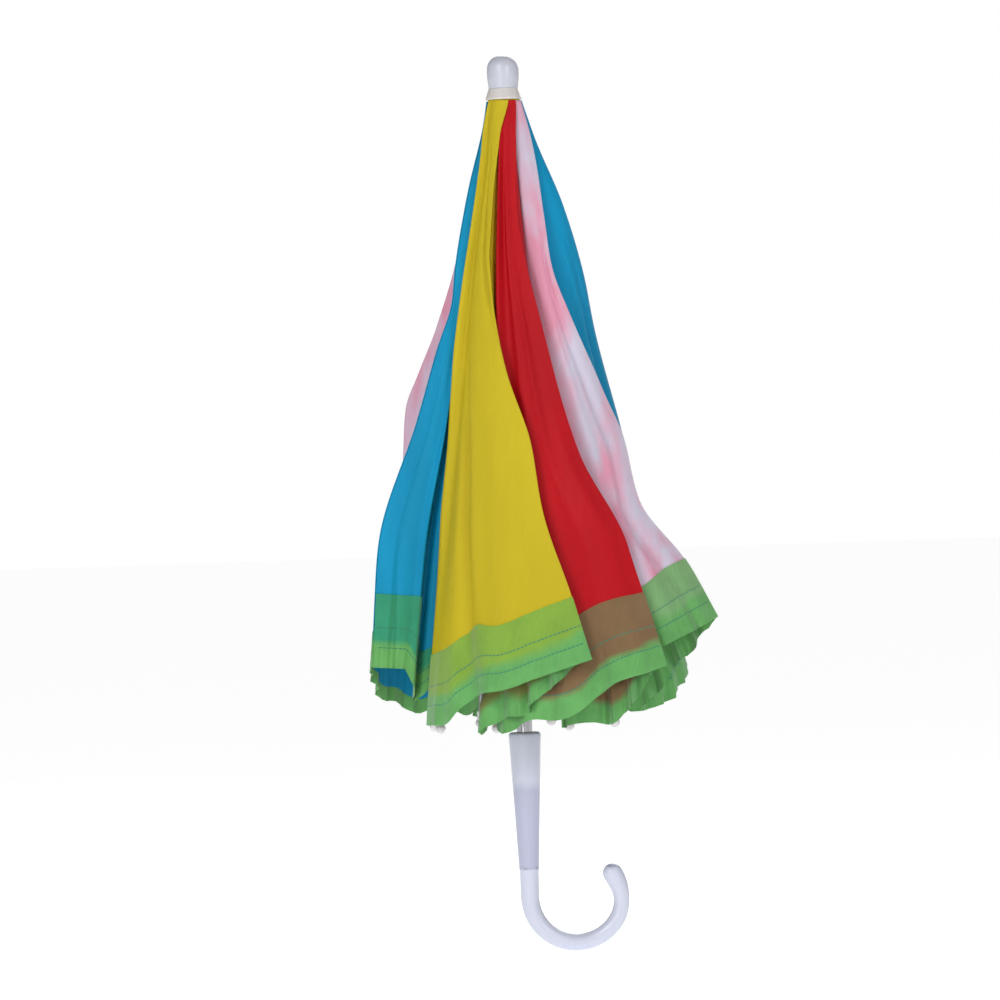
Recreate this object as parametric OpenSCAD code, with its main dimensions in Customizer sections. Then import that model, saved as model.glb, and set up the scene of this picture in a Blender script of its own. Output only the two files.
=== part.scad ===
// Closed child's stick umbrella: eight ribs, eight two-leaved gores and a crook handle.
// Z runs along the shaft with the ferrule up. The origin is on the shaft's axis at mid grip.

/* [Frame] */
// Diameter of the steel tube
shaft_d = 9; // [8:0.5:10]
// Wall of the steel tube
shaft_wall = 0.5; // [0.4:0.1:0.8]
// Height of the rib hinges above mid grip
crown_z = 400; // [380:5:420]
// Distance of the rib hinges from the shaft's axis
pivot_r = 6.5; // [6.4:0.1:7]
// Length of a rib from its hinge to the middle of its ball tip
rib_len = 359; // [340:1:370]
// Angle of the closed ribs from the shaft
closed_angle = 7.7; // [7:0.1:9]
// Distance from a rib's hinge to its joint, and the length of a stretcher
link_len = 160; // [140:5:170]
// Width of a rib's channel
rib_w = 2; // [1.6:0.1:2.4]
// Depth of a rib's channel
rib_h = 1.6; // [1.2:0.1:1.8]
// Radius of a ball tip
tip_r = 2.9; // [2.5:0.1:3.2]

/* [Handle] */
// Radius at the top of the grip
grip_top_r = 9; // [8:0.1:10]
// Radius at the bottom of the grip
grip_bottom_r = 5.65; // [5.2:0.05:6]
// Height of the grip's top edge
grip_top = 40; // [35:1:45]
// Height of the grip's bottom edge, where the shaft ends inside
grip_bottom = -39.5; // [-45:0.5:-30]
// Height of the hook's centre
hook_z = -55.7; // [-65:0.1:-50]
// Radius of the hook's centreline
hook_r = 26.9; // [22:0.1:30]
// Radius of the hook's rod at its start
hook_rod_r = 5.3; // [5:0.1:5.6]
// Radius of the hook's rod next to its bulb
hook_end_r = 4.35; // [4:0.05:4.8]
// Radius of the bulb at the hook's end
bulb_r = 5.8; // [5:0.1:6.5]
// Angle that the hook turns through
hook_turn = 210; // [180:5:225]

/* [Ferrule] */
// Height of the cap from the collar to its top
cap_h = 19; // [16:1:22]
// Largest radius of the cap
cap_r = 9.2; // [8.8:0.1:9.6]
// Radius of the cap's neck
cap_neck_r = 8.5; // [8:0.1:8.7]
// Height of the collar that clamps the canopy
collar_h = 6.4; // [5:0.2:8]
// Radius of the collar's lower edge
collar_r = 10.4; // [10:0.1:11]

/* [Canopy] */
// Thickness of a gore's plain solid
cloth_t = 0.25; // [0.2:0.05:0.4]
// Height where the cloth leaves the collar
cloth_top = 400; // [398:1:402]
// Height of the cloth's lower edge on a rib
cloth_low = 54.5; // [53:0.5:60]
// How round a leaf stands off its rib, less is rounder
cloth_belly = 0.6; // [0.5:0.05:0.8]

/* [Hidden] */
$fn = 48;
count = 8;
first_rib = 208;
step = 360 / count;
fit = 0.02;
run = 0.1;
shaft_r = shaft_d / 2;
shaft_bore_r = shaft_r - shaft_wall;
crown_r = 8;
crown_low = -3.5;
crown_high = 4;
eye_w = 1.2;
eye_r = 1.1;
wire_r = 0.5;
eye_bore_r = 0.58;
slot_w = 1.7;
slot_floor = 5.25;
groove_w = 1.1;
rivet_r = 0.6;
fork_gap = 1.3;
fork_t = 0.6;
fork_len = 10;
stem_w = 1.8;
stem_h = 1.4;
collar_z = crown_z + 6;
cap_low = collar_z + collar_h + 0.05;
cap_neck_h = 2;
cap_band_h = 4;
shaft_top = crown_z + 17;
runner_z = crown_z - 2 * link_len * cos(closed_angle);
runner_high = 2.6;
runner_low = -27;
runner_ring_r = 9.4;
runner_tube_r = 6.1;
rim_h = 1.6;
catch_h = 2;
catch_out = 1.6;
catch_play = 0.3;
bottom_catch_z = runner_z + runner_low + rim_h + catch_play;
catch_foot = 12;
stop_pin_r = 0.8;
catch_w = 2.4;
window_w = 3.6;
window_h = 9;
eye_room = 0.5;
open_angle = 57.7;
open_rise = 2 * link_len * (cos(closed_angle) - cos(open_angle));
top_catch_z = runner_z + runner_low + open_rise - catch_play - catch_h;
stop_pin_z = top_catch_z + 36;
cloth_off = 1.9;
cloth_slack = 0.9;
layer_gap = 0.6;
// Widths of a seam and of a fold, as a bearing times a radius.
seam_gap = 20;
fold_gap = 14;

// Each gore's fold line from the collar to its corner, as height, radius and bearing.
// A gore folds outwards into two leaves that meet along this line.
FOLDS = [
    [[405, 10.2, 285], [385, 14.5, 258], [345, 24, 252], [300, 36, 256], [250, 49, 267],
        [205, 62, 280], [170, 72, 281], [120, 88, 289], [82.7, 100, 293]],
    [[405, 10.2, 313], [385, 14.5, 296], [342, 23, 284], [275, 41, 295], [200, 62, 306],
        [147, 80, 321], [120, 90, 321], [77.3, 107, 320]],
    [[405, 10.5, 340], [387, 15, 343], [338, 25, 327], [308, 33, 318], [278, 42, 326],
        [235, 55, 341], [209, 65, 344], [172, 74, 342], [135, 99, 348], [103.3, 115, 350]],
    [[405, 10.5, 365], [382, 18, 368], [344, 33, 370], [304, 44, 372], [271, 50, 374],
        [210, 66, 378], [177, 74, 380], [74.8, 104, 383]],
    [[405, 10.2, 408], [340, 28, 409], [270, 46, 409], [200, 64, 408], [140, 82, 407],
        [82, 97, 407]],
    [[405, 10.2, 456], [340, 27, 457], [270, 43, 459], [200, 58, 460], [140, 70, 461],
        [74, 82, 462]],
    [[405, 10.2, 505], [348, 27, 513], [315, 35, 511], [278, 49, 511], [249, 62, 513],
        [230, 70, 514], [197, 74, 513], [140, 84, 512], [88.7, 95, 510]],
    [[405, 10.2, 550], [390, 13, 552], [354, 23, 554], [308, 33, 557], [290, 35.5, 558],
        [262, 46, 559], [221, 60, 560], [155, 85.5, 561], [118, 91, 563], [80.9, 94.5, 564]]
];

// ---- placing ----

function bearing(i) = first_rib + step * i;
function mix(a, b, t) = a + (b - a) * t;

// A frame at the hinge of a rib: X points away from the shaft, Z along the shaft.
module at_hinge(i) {
    rotate([0, 0, bearing(i)]) translate([pivot_r, 0, crown_z]) children();
}

// The same frame tilted, so that -Z runs down the closed rib.
module along_rib(i) {
    at_hinge(i) rotate([0, -closed_angle, 0]) children();
}

// A frame at a rib's joint, whose -Z runs down the closed stretcher.
module along_stretcher(i) {
    along_rib(i) translate([0, 0, -link_len]) rotate([0, 2 * closed_angle, 0]) children();
}

module cross_cylinder(r, w) {
    rotate([90, 0, 0]) cylinder(r = r, h = w, center = true);
}

// ---- shaft, handle and ferrule ----

module shaft() {
    color("gainsboro") difference() {
        translate([0, 0, grip_bottom + 0.2]) cylinder(r = shaft_r, h = shaft_top - grip_bottom);
        translate([0, 0, grip_bottom]) cylinder(r = shaft_bore_r, h = shaft_top + 3 - grip_bottom);
        for (z = [bottom_catch_z, top_catch_z]) catch_slot(z);
        translate([0, 0, stop_pin_z]) cross_cylinder(stop_pin_r + fit, shaft_d + 2);
    }
}

module catch_slot(z) {
    depth = 4;
    end_play = 0.9;
    translate([shaft_r + catch_play - depth, -catch_w / 2 - catch_play, z - end_play])
        cube([depth, catch_w + 2 * catch_play, catch_h + 2 * end_play]);
}

// The hook's rod, swept as rings along its arc, from a little way up inside the grip's rod.
function hook_radius(a) = mix(hook_rod_r, hook_end_r, max(a, 0) / hook_turn) - fit;
function hook_ring(a, r, sides) = [
    for (k = [0:sides - 1])
        let (b = 360 * k / sides)
            [hook_r - (hook_r + r * cos(b)) * cos(a), r * sin(b),
                hook_z - (hook_r + r * cos(b)) * sin(a)]
];

module hook(sides = 24, rings = 36) {
    start = -8;
    start_taper = 0.1;
    angles = [for (j = [0:rings]) mix(start, hook_turn, j / rings)];
    points = [for (a = angles) each hook_ring(a, hook_radius(a) + min(a, 0) * start_taper, sides)];
    walls = [
        for (j = [0:rings - 1])
            for (k = [0:sides - 1])
                let (n = (k + 1) % sides)
                    [j * sides + k, (j + 1) * sides + k, (j + 1) * sides + n, j * sides + n]
    ];
    first = [for (k = [0:sides - 1]) k];
    last = [for (k = [sides - 1:-1:0]) rings * sides + k];
    polyhedron(points, concat([first], walls, [last]), convexity = 6);
    translate([hook_r - hook_r * cos(hook_turn), 0, hook_z - hook_r * sin(hook_turn)])
        sphere(r = bulb_r);
}

module handle() {
    rim = 1.2;
    color([0.86, 0.87, 0.95]) difference() {
        union() {
            rotate_extrude() polygon([
                [0, hook_z], [hook_rod_r, hook_z], [grip_bottom_r, grip_bottom - 1],
                [grip_bottom_r, grip_bottom], [grip_top_r, grip_top - rim],
                [grip_top_r - 0.3 * rim, grip_top - 0.3 * rim], [grip_top_r - rim, grip_top],
                [0, grip_top]
            ]);
            hook();
        }
        translate([0, 0, grip_bottom])
            cylinder(r = shaft_r + fit, h = grip_top - grip_bottom + 1);
    }
}

// The cap's outline: a short neck, a straight band and a round dome.
module ferrule_cap() {
    dome_z = cap_low + cap_h - cap_r;
    color([0.88, 0.88, 0.94]) difference() {
        rotate_extrude() union() {
            translate([0, dome_z - cap_band_h]) square([cap_r, cap_band_h + fit]);
            intersection() {
                translate([0, dome_z]) circle(r = cap_r);
                translate([0, dome_z]) square([cap_r, cap_r]);
            }
            polygon([[0, cap_low], [cap_neck_r, cap_low], [cap_neck_r, cap_low + cap_neck_h],
                [cap_r, dome_z - cap_band_h], [0, dome_z - cap_band_h]]);
        }
        cylinder(r = shaft_r + fit, h = shaft_top + 0.4);
    }
}

module canopy_collar() {
    edge_h = 1;
    color([0.91, 0.9, 0.9]) difference() {
        translate([0, 0, collar_z]) union() {
            cylinder(r = collar_r, h = edge_h);
            translate([0, 0, edge_h])
                cylinder(r1 = collar_r, r2 = cap_neck_r + run, h = collar_h - edge_h);
        }
        cylinder(r = shaft_r + fit, h = cap_low + 1);
    }
}

module canopy_top() {
    gather_h = 1.3;
    color("khaki") difference() {
        translate([0, 0, collar_z - gather_h - run]) cylinder(r = collar_r - 0.3, h = gather_h);
        cylinder(r = shaft_r + fit, h = collar_z + 1);
    }
}

// ---- crown and runner ----

// A slotted ring with a groove for the wire on which the eyes turn.
module slotted_ring(r, low, high, slot_low, slot_high) {
    difference() {
        translate([0, 0, low]) cylinder(r = r, h = high - low);
        translate([0, 0, low - 1]) cylinder(r = shaft_r + fit, h = high - low + 2);
        for (i = [0:count - 1]) rotate([0, 0, bearing(i)])
            translate([slot_floor, -slot_w / 2, slot_low])
                cube([r, slot_w, slot_high - slot_low]);
        rotate_extrude() translate([pivot_r - groove_w / 2, -groove_w / 2])
            square([r, groove_w]);
    }
}

module ring_wire() {
    rotate_extrude() translate([pivot_r, 0]) circle(r = wire_r, $fn = 24);
}

module crown() {
    color("white") translate([0, 0, crown_z])
        slotted_ring(crown_r, crown_low, crown_high, crown_low - 1, eye_r + eye_room);
}

module crown_wire() {
    color("silver") translate([0, 0, crown_z]) ring_wire();
}

module runner() {
    color("white") translate([0, 0, runner_z]) difference() {
        union() {
            slotted_ring(runner_ring_r, -runner_high, runner_high,
                -eye_r - eye_room, runner_high + 1);
            translate([0, 0, runner_low]) cylinder(r = runner_tube_r, h = -runner_high - runner_low);
        }
        translate([0, 0, runner_low - 1]) cylinder(r = shaft_r + run, h = runner_high - runner_low + 2);
        translate([0, -window_w / 2, runner_low + rim_h])
            cube([runner_tube_r + 1, window_w, window_h]);
    }
}

module runner_wire() {
    color("silver") translate([0, 0, runner_z]) ring_wire();
}

module stop_pin() {
    color("silver") translate([0, 0, stop_pin_z]) cross_cylinder(stop_pin_r, shaft_d + 1.8);
}

// A leaf inside the tube, with a round foot to turn on and a nose that comes out of the slot.
// The nose spans catch_h above z, and its flat side faces down or up.
module catch(z, flat_down) {
    leaf_x = 1.9;
    leaf_t = 0.6;
    foot_r = 0.7;
    lip = 0.4;
    top = z + catch_h;
    out = shaft_r + catch_out;
    color("silver") union() {
        translate([leaf_x + leaf_t / 2, 0, z - catch_foot]) cross_cylinder(foot_r, catch_w);
        translate([leaf_x, -catch_w / 2, z - catch_foot]) cube([leaf_t, catch_w, catch_foot + 1]);
        translate([0, catch_w / 2, 0]) rotate([90, 0, 0]) linear_extrude(catch_w) polygon(
            flat_down
            ? [[leaf_x, z], [out, z], [out, z + lip], [leaf_x + leaf_t, top], [leaf_x, top]]
            : [[leaf_x, z], [leaf_x + leaf_t, z], [out, top - lip], [out, top], [leaf_x, top]]
        );
    }
}

module bottom_catch() {
    catch(bottom_catch_z, true);
}

module top_catch() {
    catch(top_catch_z, false);
}

// ---- ribs ----

module rib(i) {
    channel_top = -6;
    channel_low = -rib_len + 5;
    color("lightgray") along_rib(i) difference() {
        union() {
            cross_cylinder(eye_r, eye_w);
            translate([-0.7, -eye_w / 2, channel_top - 2]) cube([1.4, eye_w, 2 - channel_top]);
            translate([-rib_h / 2, -rib_w / 2, channel_low])
                cube([rib_h, rib_w, channel_top - channel_low]);
            translate([0, 0, -rib_len + 2]) cylinder(r = 0.75, h = 6);
        }
        cross_cylinder(eye_bore_r, 4);
        translate([-rib_h, -rib_w / 2 + 0.4, channel_low + 1])
            cube([rib_h + 0.3, rib_w - 0.8, channel_top - channel_low - 4]);
        translate([0, 0, -link_len]) cross_cylinder(rivet_r + fit, 4);
    }
}

// The clip that wraps the rib where the stretcher joins it, with its rivet.
module rib_joint(i) {
    clip_t = 0.25;
    clip_l = 7;
    color("silver") along_rib(i) translate([0, 0, -link_len]) union() {
        difference() {
            translate([-rib_h / 2, -rib_w / 2 - clip_t, -clip_l / 2])
                cube([rib_h + clip_t, rib_w + 2 * clip_t, clip_l]);
            translate([-rib_h, -rib_w / 2 - fit, -clip_l])
                cube([1.5 * rib_h + fit, rib_w + 2 * fit, 2 * clip_l]);
        }
        cross_cylinder(rivet_r, 2 * (fork_gap + fork_t + 0.3));
        for (side = [-1, 1]) translate([0, side * (fork_gap + fork_t + 0.35), 0])
            cross_cylinder(1, 0.5);
    }
}

module stretcher(i) {
    eye_start = link_len - 6;
    color("lightgray") along_stretcher(i) difference() {
        union() {
            for (side = [-1, 1]) translate([0, side * (fork_gap + fork_t / 2), 0]) {
                cross_cylinder(1.2, fork_t);
                translate([-1.2, -fork_t / 2, -fork_len]) cube([2.4, fork_t, fork_len]);
            }
            translate([-1.2, -fork_gap - fork_t, -fork_len - 1.4])
                cube([2.4, 2 * (fork_gap + fork_t), 1.4]);
            translate([-stem_h / 2, -stem_w / 2, -eye_start])
                cube([stem_h, stem_w, eye_start - fork_len]);
            translate([-0.7, -eye_w / 2, -link_len]) cube([1.4, eye_w, 8]);
            translate([0, 0, -link_len]) cross_cylinder(eye_r, eye_w);
        }
        cross_cylinder(rivet_r + 0.05, 8);
        translate([0, 0, -link_len]) cross_cylinder(eye_bore_r, 4);
    }
}

module tip(i) {
    color("white") along_rib(i) translate([0, 0, -rib_len]) difference() {
        union() {
            sphere(r = tip_r);
            cylinder(r = 2.1, h = 7);
            translate([0, 0, 6]) cylinder(r = 2.3, h = 1.2);
        }
        translate([0, 0, 2]) cylinder(r = 0.75 + fit, h = 3.1);
        translate([-rib_h / 2 - fit, -rib_w / 2 - fit, 5])
            cube([rib_h + 2 * fit, rib_w + 2 * fit, 4]);
    }
}

// ---- canopy ----

function fold_low(g) = FOLDS[g][len(FOLDS[g]) - 1][0];
function fold_value(g, z, k) = lookup(z, [for (p = FOLDS[g]) [p[0], p[k]]]);
function rib_cloth_r(z) = pivot_r + (crown_z - z) * tan(closed_angle) + cloth_off
    + cloth_slack * (crown_z - z) / (crown_z - cloth_low);

// A point of a leaf: s runs down the cloth and t from the rib to the fold line.
// Leaf a hangs from rib g, leaf b from the next rib, under leaf a.
function leaf_mid(g, is_b, s, t) =
    let (
        rib_z = mix(cloth_top, cloth_low, s),
        fold_z = mix(cloth_top, fold_low(g), s),
        turn = is_b ? 1 : -1,
        start = bearing(g + (is_b ? 1 : 0)) - turn * seam_gap / rib_cloth_r(rib_z),
        start_r = rib_cloth_r(rib_z) + (is_b ? layer_gap - 0.1 : 0),
        end_r = fold_value(g, fold_z, 1) - (is_b ? layer_gap : 0),
        az = mix(start, fold_value(g, fold_z, 2) + turn * fold_gap / end_r, t),
        r = mix(start_r, end_r, pow(t, cloth_belly))
    )
    [r * cos(az), r * sin(az), mix(rib_z, fold_z, t)];

// The same point moved half the cloth's thickness to one side.
function leaf_point(g, is_b, s, t, side) =
    let (
        d = 0.02, // a short way along or across the leaf
        down = leaf_mid(g, is_b, min(s + d, 1), t) - leaf_mid(g, is_b, max(s - d, 0), t),
        across = leaf_mid(g, is_b, s, min(t + d, 1)) - leaf_mid(g, is_b, s, max(t - d, 0)),
        normal = cross(down, across)
    )
    leaf_mid(g, is_b, s, t) + side * cloth_t / 2 * normal / norm(normal);

module leaf(g, is_b, rows = 14, cols = 6) {
    to_fold = 1.4; // more than one crowds the columns towards the rib
    w = cols + 1;
    n = w * (rows + 1);
    points = [
        for (side = [1, -1])
            for (j = [0:rows])
                for (k = [0:cols])
                    leaf_point(g, is_b, j / rows, pow(k / cols, to_fold), side)
    ];
    cells = [for (j = [0:rows - 1]) for (k = [0:cols - 1]) j * w + k];
    outer = [for (c = cells) each [[c, c + 1, c + w + 1], [c, c + w + 1, c + w]]];
    inner = [for (f = outer) [f[2] + n, f[1] + n, f[0] + n]];
    rim = concat(
        [for (k = [0:cols - 1]) [k, k + 1]],
        [for (j = [0:rows - 1]) [j * w + cols, (j + 1) * w + cols]],
        [for (k = [cols:-1:1]) [rows * w + k, rows * w + k - 1]],
        [for (j = [rows:-1:1]) [j * w, (j - 1) * w]]
    );
    edge = [for (e = rim) each [[e[1], e[0], e[0] + n], [e[1], e[0] + n, e[1] + n]]];
    color(["gold", "crimson", "lavender", "deepskyblue"][g % 4])
        polyhedron(points, concat(outer, inner, edge));
}

shaft();
handle();
ferrule_cap();
canopy_collar();
canopy_top();
crown();
crown_wire();
runner();
runner_wire();
top_catch();
bottom_catch();
stop_pin();
for (i = [0:count - 1]) {
    rib(i);
    stretcher(i);
    rib_joint(i);
    tip(i);
    leaf(i, false);
    leaf(i, true);
}
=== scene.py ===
"""Looks of the closed child's stick umbrella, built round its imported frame. Lengths are in metres."""
import math

import bpy
import numpy as np
from mathutils import Matrix, Vector, noise


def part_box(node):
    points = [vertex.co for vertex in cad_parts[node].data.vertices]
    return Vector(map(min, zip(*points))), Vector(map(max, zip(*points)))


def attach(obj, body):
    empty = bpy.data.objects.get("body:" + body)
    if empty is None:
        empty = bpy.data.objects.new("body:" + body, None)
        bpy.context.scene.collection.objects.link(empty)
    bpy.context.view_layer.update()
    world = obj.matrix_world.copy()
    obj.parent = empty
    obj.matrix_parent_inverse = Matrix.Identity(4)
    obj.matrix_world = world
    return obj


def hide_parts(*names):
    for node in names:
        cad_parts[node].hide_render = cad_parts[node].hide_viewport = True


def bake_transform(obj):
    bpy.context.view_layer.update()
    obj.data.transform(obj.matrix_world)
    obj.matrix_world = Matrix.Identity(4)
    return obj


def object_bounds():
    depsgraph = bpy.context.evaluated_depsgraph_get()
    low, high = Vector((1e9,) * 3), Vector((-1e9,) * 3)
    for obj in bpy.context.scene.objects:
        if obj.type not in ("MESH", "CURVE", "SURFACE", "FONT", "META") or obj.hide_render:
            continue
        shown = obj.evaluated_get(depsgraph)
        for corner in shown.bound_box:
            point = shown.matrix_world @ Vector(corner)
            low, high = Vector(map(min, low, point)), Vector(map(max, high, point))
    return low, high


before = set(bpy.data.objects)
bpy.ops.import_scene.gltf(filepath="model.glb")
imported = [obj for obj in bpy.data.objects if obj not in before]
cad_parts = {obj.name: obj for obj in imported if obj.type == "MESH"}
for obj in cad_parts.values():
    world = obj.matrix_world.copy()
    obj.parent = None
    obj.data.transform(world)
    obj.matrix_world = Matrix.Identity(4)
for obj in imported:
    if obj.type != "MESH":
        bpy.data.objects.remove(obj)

MM = 0.001
cad_box = [list(v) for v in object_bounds()]

# ---- shader helpers ----


def new_material(name, colour, roughness, **values):
    material = bpy.data.materials.new(name)
    material.use_nodes = True
    shader = material.node_tree.nodes["Principled BSDF"]
    shader.inputs["Base Color"].default_value = (*colour, 1)
    shader.inputs["Roughness"].default_value = roughness
    for key, value in values.items():
        shader.inputs[key.replace("_", " ")].default_value = value
    return material


def add_node(tree, kind, inputs=None, **settings):
    made = tree.nodes.new(kind)
    for key, value in settings.items():
        setattr(made, key, value)
    for key, value in (inputs or {}).items():
        if isinstance(value, bpy.types.NodeSocket):
            tree.links.new(value, made.inputs[key])
        else:
            made.inputs[key].default_value = value
    return made


def mix_colours(tree, factor, first, second):
    made = tree.nodes.new("ShaderNodeMix")
    made.data_type = "RGBA"
    for socket, value in zip((made.inputs[0], made.inputs[6], made.inputs[7]), (factor, first, second)):
        if isinstance(value, bpy.types.NodeSocket):
            tree.links.new(value, socket)
        elif isinstance(value, (int, float)):
            socket.default_value = value
        else:
            socket.default_value = (*value, 1)
    return made.outputs[2]


def ramp(tree, value, low, high, to_low=0.0, to_high=1.0):
    return add_node(tree, "ShaderNodeMapRange", {
        "Value": value, "From Min": low, "From Max": high, "To Min": to_low, "To Max": to_high,
    }).outputs["Result"]


def noise_value(tree, vector, scale, detail=3.0, roughness=0.5):
    return add_node(tree, "ShaderNodeTexNoise", {
        "Vector": vector, "Scale": scale, "Detail": detail, "Roughness": roughness,
    }).outputs["Fac"]


def add_bump(tree, height, strength, distance):
    bump = add_node(tree, "ShaderNodeBump", {"Height": height, "Strength": strength, "Distance": distance})
    feed(tree, "Normal", bump.outputs["Normal"])


def scaled(tree, vector, size):
    return add_node(tree, "ShaderNodeMapping", {"Vector": vector, "Scale": size}).outputs["Vector"]


def darker(colour, amount):
    return tuple(c * amount for c in colour)


def calculate(tree, operation, *values):
    return add_node(tree, "ShaderNodeMath", dict(enumerate(values)), operation=operation).outputs[0]


def feed(tree, name, value):
    tree.links.new(value, tree.nodes["Principled BSDF"].inputs[name])


# ---- camera, light and floor ----

CAMERA_DISTANCE = 4.0
# Width of the picture at the umbrella's distance.
FIELD = 0.5787
SENSOR = 0.036
VIEW_CENTRE = Vector((-0.0098, 0, 0.1746))
ROLL = math.radians(1.9)
FLOOR_Z = cad_box[0][2] - 0.5 * MM
FLOOR_HALF = 30
STUDIO_LEVEL = 0.44
# The darker gaps in the studio: where their inner and outer edges start and end, and their share of light.
GAP_INNER = (0.50, 0.60)
GAP_OUTER = (0.86, 0.76)
GAP_LEVEL = 0.1


def make_camera():
    right = Vector((math.cos(ROLL), 0, -math.sin(ROLL)))
    up = Vector((math.sin(ROLL), 0, math.cos(ROLL)))
    back = Vector((0, -1, 0))
    data = bpy.data.cameras.new("camera")
    data.sensor_width = SENSOR * 1000
    data.lens = SENSOR * 1000 * CAMERA_DISTANCE / FIELD
    data.clip_end = 50
    camera = bpy.data.objects.new("camera", data)
    spin = Matrix((right, up, back)).transposed().to_4x4()
    camera.matrix_world = Matrix.Translation(VIEW_CENTRE + back * CAMERA_DISTANCE) @ spin
    bpy.context.collection.objects.link(camera)
    bpy.context.scene.camera = camera


def area_light(name, place, aim, size, watts, tall=None):
    data = bpy.data.lights.new(name, "AREA")
    data.size = size
    data.energy = watts
    if tall:
        data.shape = "RECTANGLE"
        data.size_y = tall
    light = bpy.data.objects.new(name, data)
    light.location = place
    light.rotation_mode = "QUATERNION"
    light.rotation_quaternion = (Vector(aim) - Vector(place)).to_track_quat("-Z", "Y")
    bpy.context.collection.objects.link(light)


def make_world():
    """A white backdrop in a dimmer studio, with a darker gap between the soft boxes on each side."""
    world = bpy.data.worlds.new("studio")
    bpy.context.scene.world = world
    world.use_nodes = True
    tree = world.node_tree
    seen = tree.nodes.new("ShaderNodeLightPath").outputs["Is Camera Ray"]
    way = tree.nodes.new("ShaderNodeTexCoord").outputs["Generated"]
    aside = add_node(tree, "ShaderNodeSeparateXYZ", {"Vector": way}).outputs["X"]
    aside = calculate(tree, "ABSOLUTE", aside)
    gap = calculate(tree, "MULTIPLY", ramp(tree, aside, *GAP_INNER), ramp(tree, aside, *GAP_OUTER))
    studio = ramp(tree, gap, 0, 1, STUDIO_LEVEL, GAP_LEVEL * STUDIO_LEVEL)
    level = add_node(tree, "ShaderNodeMix", {0: seen, 2: studio, 3: 1.0})
    tree.links.new(level.outputs[0], tree.nodes["Background"].inputs["Strength"])
    tree.nodes["Background"].inputs["Color"].default_value = (1, 1, 1, 1)


def make_floor():
    mesh = bpy.data.meshes.new("floor")
    corners = [(x * FLOOR_HALF, y * FLOOR_HALF, FLOOR_Z) for x, y in ((-1, -1), (1, -1), (1, 1), (-1, 1))]
    mesh.from_pydata(corners, [], [(0, 1, 2, 3)])
    floor = bpy.data.objects.new("floor", mesh)
    bpy.context.collection.objects.link(floor)
    mesh.materials.append(new_material("floor_paint", (0.7, 0.7, 0.7), 0.9, Emission_Color=(1, 1, 1, 1),
                                       Emission_Strength=0.72))


make_camera()
make_world()
make_floor()
area_light("key", (-1.1, -1.9, 1.3), (0, 0, 0.2), 0.7, 16)
area_light("soft_box", (-0.8, -1.9, 0.1), (0, 0, 0.1), 0.5, 11, 1.6)
area_light("fill", (1.2, -1.9, 0.9), (0, 0, 0.2), 0.7, 13)
area_light("back", (0.5, 1.9, 1.2), (0, 0, 0.2), 1.2, 14)
bpy.context.scene.view_settings.view_transform = "Standard"

# ---- materials ----

WEAVE_PITCH = 0.55 * MM
# A wave texture of scale 1 repeats after this length.
WAVE_PERIOD = 0.314
YELLOW = (0.55, 0.43, 0.015)
RED = (0.50, 0.004, 0.010)
WHITE = (0.60, 0.56, 0.68)
PINK = (0.68, 0.28, 0.39)
BLUE = (0.003, 0.285, 0.52)
PEARL = (0.56, 0.585, 0.70)
GREEN = (0.14, 0.42, 0.12)


def weave(tree, uv):
    """Height of a plain weave, and of the uneven threads along the cloth."""
    inputs = {"Vector": uv, "Scale": WAVE_PERIOD / WEAVE_PITCH, "Distortion": 0.6}
    warp = add_node(tree, "ShaderNodeTexWave", inputs, bands_direction="X").outputs["Fac"]
    weft = add_node(tree, "ShaderNodeTexWave", inputs, bands_direction="Y").outputs["Fac"]
    threads = noise_value(tree, scaled(tree, uv, (2600, 60, 1)), 1.0, 2.0)
    return calculate(tree, "ADD", calculate(tree, "ADD", warp, weft), threads), threads


def add_cloth_relief(tree, uv, height, size, pucker, strength):
    """Puckers of the given size on top of the weave's height."""
    puckers = noise_value(tree, scaled(tree, uv, size), 1.0, 2.0)
    relief = calculate(tree, "ADD", calculate(tree, "MULTIPLY", puckers, pucker), height)
    add_bump(tree, relief, strength, 0.12 * MM)


def cloth_material(name, colour, shade=0.8, stain=None, sheen=0.2, roughness=0.5):
    """Thin woven polyester: uneven dye, faint threads, soft sheen and small puckers."""
    material = new_material(name, colour, roughness, Sheen_Weight=sheen, Sheen_Roughness=0.4,
                            Specular_IOR_Level=0.14)
    material.node_tree.nodes["Principled BSDF"].inputs["Sheen Tint"].default_value = (*colour, 1)
    tree = material.node_tree
    uv = add_node(tree, "ShaderNodeUVMap", uv_map="cloth").outputs["UV"]
    place = add_node(tree, "ShaderNodeTexCoord").outputs["Object"]
    height, threads = weave(tree, uv)
    broad = ramp(tree, noise_value(tree, scaled(tree, place, (22, 22, 7)), 1.0, 2.0), 0.3, 0.7)
    made = mix_colours(tree, broad, darker(colour, shade), colour)
    if stain:
        patch = ramp(tree, noise_value(tree, scaled(tree, place, (24, 24, 8)), 1.4, 3.0, 0.6), 0.38, 0.58)
        made = mix_colours(tree, patch, made, stain)
    made = mix_colours(tree, ramp(tree, threads, 0.35, 0.75, 0.0, 0.16), made, darker(colour, 0.55))
    feed(tree, "Base Color", made)
    add_cloth_relief(tree, uv, height, (220, 60, 1), 6.0, 0.5)
    return material


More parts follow.
